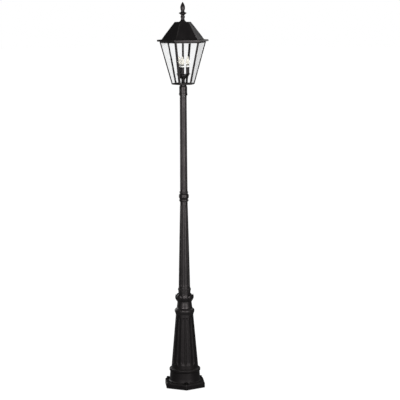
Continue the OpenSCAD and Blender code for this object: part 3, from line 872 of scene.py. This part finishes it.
def leaf(low, tip, root_radius, tip_radius, half_angle, thickness):
    """One leaf, with its spine in the XZ plane. Up the spine v goes from 0 to 1 and the radius
    rises by a quarter sine. Across it the angle is cos s times the half width, and the depth is
    sin s times half the thickness, plus a rib on the outer side and a cup towards the edges."""
    v = np.sin(np.linspace(0, pi / 2, 22))[:, None]
    s = even_angles(36)[None]
    spine_z = low + (tip - low) * v
    spine_r = root_radius + (tip_radius - root_radius) * np.sin(np.minimum(v * 1.6, 1) * pi / 2)
    spine_r = spine_r - 2.5 * v ** 6
    width = half_angle * np.clip(1 - v ** 7, 0, 1) ** 0.5 * (0.90 + 0.10 * np.sin(pi * v))
    outer = np.clip(np.sin(s), 0, 1)
    across = np.cos(s)
    rib = 2.0 * np.exp(-(across / 0.16) ** 2) * outer * np.sin(pi * np.minimum(v + 0.1, 1))
    veins = 0.5 * outer * np.cos(9 * (v * 2 + np.abs(across))) * (1 - np.abs(across)) * (1 - v)
    hollow = -1.6 * across ** 2 * (0.3 + v)
    depth = thickness / 2 * np.sin(s) * (1.15 - 0.6 * v) + rib + veins + hollow
    radius = spine_r + depth
    grid = ring_points(width * across, radius, spine_z)
    ends = [tuple(grid[row].mean(0)) for row in (0, -1)]
    return grid_part(grid, poles=ends)


cup = outline([
    (61, low, 0), (63, low, 1), (64.5, low + 6, 3), (71, low + 22, 10), (73.5, LEAF_TIP - 12, 3),
    (70, LEAF_TIP - 10, 2), (58, LEAF_TIP - 17, 6), (53.6, LEAF_TIP - 14, 4),
    (52.6, LEAF_TIP + 4, 6), (53.5, high, 0)], 6)
one_leaf = leaf(low + 2, LEAF_TIP, 63.5, 78.0, radians(22), 6.0)
add_piece(
    "leaf_collar_casting",
    [lathe(shell(cup, BORE), ROUND)] + [
        moved(one_leaf, turned("Z", -90 + 360 * i / LEAVES))
        for i in range(LEAVES)],
    "post", "leaf_collar", CAST_BLACK)

# %% [markdown]
# ## Bead ring
# The ring above the leaves is a turned moulding whose radius swells into beads.

# %% Bead ring
BEADS = 20
low, high = z_span("bead_ring")
ring = outline([
    (52.5, low, 0), (54.6, low, 1), (54.6, low + 5, 1.5), (52.8, low + 7, 1),
    (56.4, low + 11, 5), (56.4, low + 21, 5), (52.8, low + 24, 1), (53.8, low + 27, 1),
    (52.4, high - 1.5, 1), (51, high, 0)], 7)


def beads(turn, radius, height):
    """Swells the middle of the ring into round beads: the root of |cos| round the ring times a
    bell curve up it."""
    middle = np.exp(-(((height - low - 16) / 6.0) ** 2))
    return 1.6 * middle * (np.sqrt(np.abs(np.cos(BEADS * turn / 2))) * 1.6 - 1.0)


add_piece("bead_ring_casting", [lathe(shell(ring, BORE), even_angles(BEADS * 14), beads)],
          "post", "bead_ring", CAST_BLACK)

# %% [markdown]
# ## Fitter
# The fitter is the lantern's socket: it drops over the pipe and three grub screws grip it.
# Its three screw holes are cut right through, so that a screw can be seen to run out.

# %% Fitter
FITTER_LOW, FITTER_TOP = z_span("fitter")
SOCKET = PIPE_RADIUS + 0.3
LEAD_IN = PIPE_RADIUS + 6.5
LIP = 15
WIRE_WAY = 18
SCREW_HOLE = 4.05
SCREW_HEIGHT = sum(z_span("set_screw_1")) / 2
JOINTS = {joint["name"]: joint for joint in frame["joints"]}
fitter_outline = outline([
    (33, FITTER_LOW, 0), (34.8, FITTER_LOW, 1.5), (36.9, FITTER_LOW + 6, 5),
    (36.9, FITTER_LOW + 16, 5), (34.7, FITTER_LOW + 21, 1.5), (34.5, FITTER_LOW + 30, 20),
    (34.7, FITTER_TOP - 22, 5), (31.8, FITTER_TOP - 12, 5), (29.2, FITTER_TOP - 9, 2),
    (29, FITTER_TOP, 0)], 7)
fitter_loop = np.vstack([fitter_outline, [
    [WIRE_WAY, FITTER_TOP], [WIRE_WAY, FITTER_TOP - LIP], [SOCKET, FITTER_TOP - LIP],
    [SOCKET, FITTER_LOW + LIP], [LEAD_IN, FITTER_LOW + LIP], [LEAD_IN, FITTER_LOW]]])
fitter = add_piece("fitter_casting", [lathe(fitter_loop, even_angles(96))],
                   "lantern", "fitter", CAST_BLACK)
screw_way = rod(SCREW_HOLE, 20, 45, 32)
screw_level = Matrix.Translation((0, 0, SCREW_HEIGHT * MM))
cut_holes(fitter, [
    moved(screw_way, screw_level @ aimed("Z", JOINTS[f"set_screw_{i}_run"]["axis"]))
    for i in (1, 2, 3)])

# %% [markdown]
# ## Pan, rail and eave
# The cage stands on a hexagonal pan and carries a rail on which the eave rests. All three
# are hexagonal rings with small mouldings, so the outline carried round the hexagon serves
# again, with tighter corners than the foot plate's.

# %% Pan, rail and eave
LANTERN_TURN = 7.5
CAGE_FOOT, CAGE_HEAD = 103.0, 201.0
WIRE_BORE = 6.6
PAN_FLAT = CAGE_FOOT * COS30
RAIL_FLAT = (CAGE_HEAD + 2) * COS30
EAVE_FLAT = 226 * COS30

low, high = z_span("bottom_pan")
pan = np.vstack([outline([
    (30, low, 0), (PAN_FLAT - 9, low, 3), (PAN_FLAT - 6, low + 3.5, 2), (PAN_FLAT, low + 5, 2),
    (PAN_FLAT, high - 1, 1.2), (PAN_FLAT - 3, high, 0.6), (PAN_FLAT - 5, high, 0)], 4),
    [[30, high], [WIRE_BORE, high], [WIRE_BORE, low]]])
add_piece("pan_plate", [hex_lathe(pan, 3, LANTERN_TURN, [0] * (len(pan) - 3) + [1] * 3, 3, 6)],
          "lantern", "bottom_pan", SHEET_BLACK)

low, high = z_span("top_rail")
rail = outline([
    (RAIL_FLAT - 14, low, 0), (RAIL_FLAT - 1, low, 1.5), (RAIL_FLAT - 0.6, low + 4, 1),
    (RAIL_FLAT, low + 5, 1), (RAIL_FLAT, high, 0.6), (RAIL_FLAT - 14.5, high, 0.5),
    (RAIL_FLAT - 14.5, low, 0.5)], 4)
add_piece("rail_frame", [hex_lathe(rail, 3, LANTERN_TURN, None, 3)],
          "lantern", "top_rail", SHEET_BLACK)

low, high = z_span("eave_flange")
eave = outline([
    (EAVE_FLAT - 34, low, 0), (EAVE_FLAT - 3, low, 2), (EAVE_FLAT, low + 2.5, 2.5),
    (EAVE_FLAT, high - 3, 3), (EAVE_FLAT - 3.5, high, 3), (EAVE_FLAT - 41, high, 0.5),
    (EAVE_FLAT - 41, low, 0.5)], 5)
add_piece("eave_plate", [hex_lathe(eave, 4, LANTERN_TURN, None, 4)],
          "roof", "eave_flange", CAST_BLACK)

# %% [markdown]
# ## Roof
# The roof is six flat sheets folded over a small flat top. Real sheet is never quite flat,
# and it carries a raised seam on each hip. The faces are gridded in rows and columns, and
# they are left flat.

# %% Roof
ROOF_LOW, ROOF_TOP = z_span("roof")
ROOF_FOOT = 188 * COS30
ROOF_HEAD = 71 * COS30
SHEET = 3.0
STUD_HOLE = 5.5


def roof_part():
    """A hexagonal frustum as a grid: up the outside the distance to the flats shrinks evenly,
    then the top runs in to the stud's hole and the inside comes back down."""
    climb = np.linspace(0, 1, 14)
    outside = np.column_stack([ROOF_FOOT + (ROOF_HEAD - ROOF_FOOT) * climb,
                               ROOF_LOW + (ROOF_TOP - ROOF_LOW) * climb])
    lip = np.array([[ROOF_FOOT - 1.0, ROOF_LOW]])
    outside[0] += (0, 1.0)
    outside[-1] = (ROOF_HEAD + 0.8, ROOF_TOP - 1.2)
    top = np.array([[ROOF_HEAD - 1.4, ROOF_TOP - 0.1], [ROOF_HEAD - 6, ROOF_TOP],
                    [30, ROOF_TOP], [STUD_HOLE, ROOF_TOP]])
    under = np.array([[STUD_HOLE, ROOF_TOP - SHEET], [30, ROOF_TOP - SHEET],
                      [ROOF_HEAD - 4, ROOF_TOP - SHEET], [ROOF_FOOT - 5.2, ROOF_LOW]])
    profile = np.vstack([lip, outside, top, under])
    round_rows = [0] * (len(lip) + len(outside)) + [0, 0, 1, 1, 1, 1, 0, 0]
    return hex_lathe(profile, 2.5, LANTERN_TURN, round_rows, 4, 12)


def hip_seam(turn):
    """A half-round bead that runs down one hip of the roof: a semicircle carried along it."""
    corner = Vector((cos(radians(turn)), sin(radians(turn)), 0))
    foot = corner * (ROOF_FOOT / COS30 - 3.2) + Vector((0, 0, ROOF_LOW + 1.5))
    head = corner * (ROOF_HEAD / COS30 - 1.0) + Vector((0, 0, ROOF_TOP - 2.0))
    along = np.array((head - foot).normalized())
    side = np.cross([0, 0, 1], corner)
    out = np.cross(side, along)
    out *= np.sign(out @ np.array(corner))
    bead = even_angles(16)
    steps = np.linspace(0, 1, 6)
    swell = np.array([0.4, 1, 1, 1, 1, 0.4])
    spine = np.array(foot) + steps[:, None] * np.array(head - foot)
    ring = 2.4 * (np.cos(bead)[:, None] * side + np.sin(bead)[:, None] * out)
    grid = (spine[:, None] + swell[:, None, None] * ring[None]) * MM
    if np.cross(side, out) @ along < 0:
        grid = grid[:, ::-1]
    return grid_part(grid, poles=(tuple(spine[0] * MM), tuple(spine[-1] * MM)))


add_piece("roof_sheet", [roof_part()] + [hip_seam(LANTERN_TURN + 60 * i) for i in range(6)],
          "roof", "roof", SHEET_BLACK)

# %% [markdown]
# ## Corner bars
# Each bar is an angle section whose two legs lie along the neighbouring panes. The section
# is drawn once and carried up the sloping corner, so it keeps its thickness all the way.

# %% Corner bars
CAGE_LOW, CAGE_HIGH = z_span("corner_bar_1")
LEG, METAL = 13.0, 3.0


def angle_bar(turn):
    """An angle section with rounded edges, swept up a hexagon's corner. In plan the section's
    outer faces lie along the hexagon's sides, and its origin follows the corner."""
    leg_run = np.array([-sin(radians(30)), cos(radians(30))])
    inward = np.array([-1.0, 0.0]) * METAL / COS30
    corners = [(0, 0), leg_run * LEG, leg_run * LEG + np.array([-COS30, -0.5]) * METAL,
               inward, leg_run * (LEG, -LEG) + np.array([-COS30, 0.5]) * METAL,
               leg_run * (LEG, -LEG)]
    section = np.array(corners, float)
    fillets = [1.2, 0.7, 0.4, 0, 0.4, 0.7]
    closed = np.vstack([section[-1:], section, section[:1]])
    looped = outline([(x, y, f) for (x, y), f in zip(closed, [0, *fillets, 0])], 3)[1:-1]
    rows = np.array([0.0, 0.02, 0.25, 0.5, 0.75, 0.98, 1.0])
    corner = CAGE_FOOT + (CAGE_HEAD - CAGE_FOOT) * rows
    height = CAGE_LOW + (CAGE_HIGH - CAGE_LOW) * rows
    x = corner[:, None] + looped[None, :, 0]
    y = np.repeat(looped[None, :, 1], len(rows), axis=0)
    grid = np.stack([x, y, np.repeat(height[:, None], len(looped), axis=1)], -1) * MM
    area = np.sum(looped[:, 0] * np.roll(looped[:, 1], -1)
                  - looped[:, 1] * np.roll(looped[:, 0], -1))
    if area < 0:
        grid = grid[:, ::-1]
    hubs = [(float(c - 4.0) * MM, 0.0, float(h) * MM) for c, h in
            ((corner[0], height[0]), (corner[-1], height[-1]))]
    return moved(grid_part(grid, poles=hubs), turned("Z", turn))


for i in range(6):
    add_piece(f"cage_bar_{i + 1}", [angle_bar(LANTERN_TURN + 60 * i)],
              "lantern", f"corner_bar_{i + 1}", SHEET_BLACK)

# %% [markdown]
# ## Panes
# A pane is a trapezoid of drawn glass. Both of its faces are waved by a few slow sines, up
# and down more than across, which is what makes straight things behind it look drawn.

# %% Panes
PANE_GAP = 3.0
PANE_THICK = 3.0


def pane_part(face):
    """A sheet on a grid: across u and up v, with the half width growing evenly with v. The
    front and back are offset by half the thickness and waved by sines, which fade to nothing
    at the edges."""
    foot_half = (CAGE_FOOT - 2 * METAL - 2 * PANE_GAP) / 2
    head_half = (CAGE_HEAD - 2 * METAL - 2 * PANE_GAP) / 2
    run, rise = (CAGE_HEAD - CAGE_FOOT) * COS30, CAGE_HIGH - CAGE_LOW
    slope = np.array([run, rise]) / hypot(run, rise)
    length = (rise - 2) / slope[1] - 1
    middle = CAGE_FOOT * COS30 - (METAL + 0.3) / slope[1] - PANE_THICK / 2 * slope[1]
    u, v = np.meshgrid(np.linspace(-1, 1, 26), np.linspace(0, 1, 40))
    edge = np.clip((1 - u ** 2) * 6, 0, 1) * np.clip(v * (1 - v) * 18, 0, 1)
    phase = 1.7 * face
    wave = (np.sin(9 * u + 3 * v + phase) + 0.7 * np.sin(17 * u - 5 * v + 2 * phase)
            + 0.5 * np.sin(4 * u + 23 * v + phase)) * 0.16 * edge
    half = foot_half + (head_half - foot_half) * v

    def sheet(offset):
        out = middle + slope[0] * length * v + slope[1] * offset
        up = CAGE_LOW + 1 + slope[1] * length * v - slope[0] * offset
        return np.stack([out, half * u, up], -1) * MM

    front, back = sheet(PANE_THICK / 2 + wave), sheet(-PANE_THICK / 2 + wave * 0.6)
    grid = np.concatenate([front, back[:, ::-1]], axis=1)
    lid_low, lid_high = grid_caps(front.shape[0], front.shape[1])
    points, faces, worn = grid_part(grid)
    return moved((points, faces + lid_low + lid_high, worn * 0),
                 turned("Z", LANTERN_TURN + 60 * (face - 0.5)))


def grid_caps(rows, columns):
    """Quads that close the bottom and top of a sheet whose back runs the other way."""
    front = np.arange(columns)
    back = 2 * columns - 1 - front
    low = np.stack([front[1:], front[:-1], back[:-1], back[1:]], -1)
    last = (rows - 1) * 2 * columns
    high = np.stack([front[:-1], front[1:], back[1:], back[:-1]], -1) + last
    return low.tolist(), high.tolist()


for i in range(1, 7):
    add_piece(f"glass_pane_{i}", [pane_part(i)], "lantern", f"pane_{i}", PANE_GLASS, 60)

# %% [markdown]
# ## Lamp cluster
# A turned stem rises from the pan to a bowl, and three candles stand on the bowl's rim in
# drip cups with scalloped lips. A rod runs on up to hold the roof down.

# %% Stem, bowl, cover and tie rod
low, high = z_span("stem")
stem = outline([
    (15, low, 0), (17.5, low, 1.5), (17.5, low + 4, 1.5), (15.7, low + 7, 2),
    (15.2, low + 14, 8), (15.7, high - 8, 2), (17.4, high - 4, 1.5), (17.4, high, 0)], 5)
add_piece("stem_turning", [lathe(shell(stem, WIRE_BORE), even_angles(72))],
          "lantern", "stem", SHEET_BLACK)

CANDLE_TURN = -11
low, high = z_span("cluster_bowl")
bowl = outline([
    (0.0, low, 0), (17, low, 1), (18.5, low + 2, 1.5), (27.5, low + 4, 4), (40, low + 12.5, 12),
    (46.5, low + 22, 8), (48.5, low + 27, 2), (50.9, low + 28.5, 1), (50.9, high, 0)], 6)
bowl = np.vstack([bowl, [[48, high], [43, low + 23.5], [36.5, low + 15], [25, low + 7.3],
                         [0, low + 5]]])


def lobes(turn, radius, height):
    """Three shallow swellings under the candles: a cosine round the bowl, strongest at half
    height."""
    low, high = z_span("cluster_bowl")
    share = np.clip((height - low) / (high - low), 0, 1)
    swell = 1.4 * np.cos(3 * (turn - radians(CANDLE_TURN - 90))) * np.sin(pi * share)
    return swell * (radius > 20)


add_piece("cluster_bowl_spinning", [lathe(bowl, even_angles(96), lobes)],
          "lantern", "cluster_bowl", SHEET_BLACK)

low, high = z_span("cluster_cover")
cover = outline([(0.0, low, 0), (50.8, low, 0.4), (50.9, high, 1.0), (46, high, 0), (0, high, 0)])
add_piece("cluster_cover_disc", [lathe(cover, even_angles(96))],
          "lantern", "cluster_cover", SHEET_BLACK)

ROD_LOW, ROD_TOP = z_span("tie_rod")
SHOULDER = ROD_TOP - 42
tie = outline([
    (0.0, ROD_LOW, 0), (11.5, ROD_LOW, 1), (11.5, ROD_LOW + 4, 2), (8.6, ROD_LOW + 8, 2),
    (8.5, ROD_LOW + 200, 0), (8.6, SHOULDER - 4, 2), (6.4, SHOULDER, 0.5),
    (5, SHOULDER + 1, 0.3), (5, ROD_TOP - 1, 0.8), (0, ROD_TOP, 0)], 4)
add_piece("tie_rod_turning", [lathe(tie, even_angles(48))], "lantern", "tie_rod", SHEET_BLACK)

# %% [markdown]
# ### Candles
# A candle is a drip cup, a black sleeve, a porcelain lampholder inside it and a lamp. The
# three stand at the same places as the CAD lamps' joints, which give each candle's axis.

# %% Candles


def candle_at(i):
    """The matrix that puts a part made on the Z axis at candle i."""
    x, y, _ = JOINTS[f"lamp_{i}_turn"]["pos_m"]
    return Matrix.Translation((x, y, 0))


CUP_LOW, CUP_TOP = z_span("bobeche_1")
SLEEVE_LOW, SLEEVE_TOP = z_span("candle_sleeve_1")
HOLDER_LOW, HOLDER_TOP = z_span("lampholder_1")
GLASS_LOW, GLASS_TOP = z_span("bulb_glass_1")
BASE_LOW, BASE_TOP = z_span("bulb_base_1")
SCALLOPS = 12
THREAD_PITCH = 3.6


def scallops(turn, radius, height):
    """Pulls the cup's lip in and out by a cosine, more the nearer the point is to the rim."""
    rim_share = np.clip((radius - 17) / 8, 0, 1)
    return 0.8 * rim_share * (np.cos(SCALLOPS * turn) - 1)


drip_cup = outline([
    (0.0, CUP_LOW, 0), (13.5, CUP_LOW, 1.5), (17.5, CUP_LOW + 2, 3), (25.5, CUP_TOP - 1, 0.8),
    (24.3, CUP_TOP, 0.6), (16.6, CUP_LOW + 3.1, 1.0), (0, CUP_LOW + 3, 0)], 5)
sleeve = outline([
    (14.4, SLEEVE_LOW, 0), (15.3, SLEEVE_LOW, 0.3), (15.5, SLEEVE_LOW + 2, 0.5),
    (15.2, SLEEVE_LOW + 4, 1), (15.3, SLEEVE_TOP - 3, 1), (15.5, SLEEVE_TOP - 1.5, 0.6),
    (15.3, SLEEVE_TOP, 0.4), (14.4, SLEEVE_TOP, 0.2), (14.3, SLEEVE_TOP - 1, 0),
    (14.3, SLEEVE_LOW + 1, 0)], 4)
holder = outline([
    (0.0, HOLDER_LOW, 0), (14.0, HOLDER_LOW, 0.6), (14.0, SLEEVE_TOP + 0.4, 0.3),
    (15.1, SLEEVE_TOP + 0.6, 0.5), (15.2, HOLDER_TOP - 1, 1.5), (13.9, HOLDER_TOP, 0.8),
    (13.4, HOLDER_TOP - 1.5, 0.5), (13.4, HOLDER_LOW + 33, 0.5), (0, HOLDER_LOW + 33, 0)], 5)


def wax(turn, radius, height):
    """Faint runs down the sleeve, as on a dipped candle: a product of two cosines."""
    outside = radius > 14.8
    return outside * 0.18 * (np.cos(5 * turn) * np.cos(height / 9 + 2 * turn) - 1)


def screw_thread(turn, radius, height):
    """The rolled thread of a lamp base: a sine that climbs one pitch a turn."""
    threaded = np.clip((BASE_TOP - 9 - height) / 2, 0, 1) * (radius > 12)
    return -0.45 * threaded * (1 + np.sin(2 * pi * height / THREAD_PITCH - turn))


lamp_base = outline([
    (0.0, BASE_LOW, 0), (3.8, BASE_LOW, 1), (4.4, BASE_LOW + 2.5, 0.5), (9, BASE_LOW + 4, 1),
    (12.6, BASE_LOW + 8, 1.5), (12.9, BASE_LOW + 9, 0)] + [
    (12.9, z, 0) for z in np.arange(BASE_LOW + 9.6, BASE_TOP - 9, 0.6)] + [
    (13.0, BASE_TOP - 8, 0.5), (13.1, BASE_TOP - 1.2, 0.8), (12.4, BASE_TOP, 0.4),
    (0, BASE_TOP, 0)], 4)


def envelope():
    """A candle lamp's glass: the radius is the neck's, plus a swell that rises and falls as a
    sine of a power of the height, and the tip closes as a root."""
    share = 1 - np.cos(np.linspace(0, pi / 2, 40))
    share = np.concatenate([share[share < 0.5], 1 - share[::-1][share[::-1] < 0.5]])
    share = np.unique(np.round(share, 6))
    body = 12.4 + 5.1 * np.sin(pi * np.clip(share / 0.78, 0, 1)) ** 0.9
    close = np.sqrt(np.clip((1 - share) / 0.72, 0, 1)) ** 1.25
    radius = np.minimum(body, 17.9 * close)
    smooth = np.convolve(np.pad(radius, 2, mode="edge"), np.ones(5) / 5, "valid")
    radius[2:-2] = smooth[2:-2]
    z = GLASS_LOW + (GLASS_TOP - GLASS_LOW) * share
    profile = np.column_stack([radius, z])
    profile[-1, 0] = 0
    return np.vstack([[[0, GLASS_LOW]], profile])


lamp_glass = envelope()
for i in (1, 2, 3):
    here = candle_at(i)
    add_piece(f"drip_cup_{i}", [moved(lathe(drip_cup, even_angles(72), scallops), here)],
              "lantern", f"bobeche_{i}", SHEET_BLACK)
    add_piece(f"sleeve_tube_{i}", [moved(lathe(sleeve, even_angles(60), wax), here)],
              "lantern", f"candle_sleeve_{i}", SHEET_BLACK)
    add_piece(f"porcelain_holder_{i}", [moved(lathe(holder, even_angles(60)), here)],
              "lantern", f"lampholder_{i}", PORCELAIN)
    add_piece(f"lamp_base_{i}", [moved(lathe(lamp_base, even_angles(48), screw_thread), here)],
              f"lamp_{i}", f"bulb_base_{i}", BRASS)
    add_piece(f"lamp_glass_{i}", [moved(lathe(lamp_glass, even_angles(48)), here)],
              f"lamp_{i}", f"bulb_glass_{i}", FROSTED_PAINTED_GLOW)

# %% [markdown]
# ## Finial
# The finial is a turned casting: a flared foot, a bead between two necks, a sharp disc and
# a bud. The bud is wrapped in pointed leaves, so its radius is folded into lobes that die
# away at the tip.

# %% Finial
FINIAL_LOW, FINIAL_TOP = z_span("finial")
BUD_LOBES = 6
BUD_FOOT = 92
DRAWN_HEIGHT = 170
finial_outline = [
    (0.0, 0, 0), (27.5, 0, 1), (29, 1.5, 1), (28.5, 3.5, 2), (21, 9, 8), (16.3, 19, 8),
    (15.4, 26, 4), (15.8, 33, 3), (18.6, 37, 2), (19.4, 42, 4), (18.6, 47, 2), (15.8, 50, 2),
    (15.3, 54, 4), (18, 61, 6), (27, 68.5, 6), (34.2, 72.6, 0.8), (34.2, 75.4, 0.8),
    (26, 79.5, 5), (17.5, 83, 6), (15, 89, 4), (15.4, 95, 4), (18.4, 106, 12), (19.6, 119, 16),
    (18.4, 131, 16), (14.5, 144, 20), (9.2, 155, 20), (4.4, 164, 5), (0.0, DRAWN_HEIGHT, 0)]
scale_up = (FINIAL_TOP - FINIAL_LOW) / DRAWN_HEIGHT
bud_profile = outline([(r, FINIAL_LOW + z * scale_up, f) for r, z, f in finial_outline], 6)


def bud_leaves(turn, radius, height):
    """Folds the bud into leaves with grooves between them: the fourth root of |cos|, less one,
    is a sharp groove. It fades in above the neck and out at the tip."""
    foot = FINIAL_LOW + BUD_FOOT
    share = np.clip((height - foot) / (FINIAL_TOP - foot), 0, 1)
    strength = np.sin(pi * share) ** 0.6
    spiral = turn + 0.25 * share
    groove = np.abs(np.cos(BUD_LOBES * spiral / 2)) ** 0.35 - 1
    return strength * (1.0 + 2.4 * groove)


add_piece("finial_casting", [lathe(bud_profile, even_angles(120), bud_leaves)],
          "finial", "finial", CAST_BLACK)

# %% [markdown]
# ## Hidden and small pieces
# The pipe, its nuts, the cable and the screws keep their CAD shape, which is already right.
# They only need their metal, rubber or brass.

# %% Finishes of the CAD pieces
CAD_FINISH = {
    "core_pipe": ZINC, "pipe_lock_nut": ZINC, "top_nut": ZINC, "pan_screws": ZINC,
    "set_screw_1": STEEL, "set_screw_2": STEEL, "set_screw_3": STEEL, "ground_screw": BRASS,
    "nipple": BRASS, "lock_nut": BRASS, "supply_cable": CABLE, "lantern_lead": CABLE,
}
for node, finish in CAD_FINISH.items():
    slots = frame["nodes"][node].data.materials
    slots.clear()
    slots.append(finish)
print(len(CAD_FINISH), "CAD pieces painted")

# %% [markdown]
# ## Size
# The finished model's box is worked out. The finished model may not outgrow the CAD
# model.

# %% Size
low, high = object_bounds()
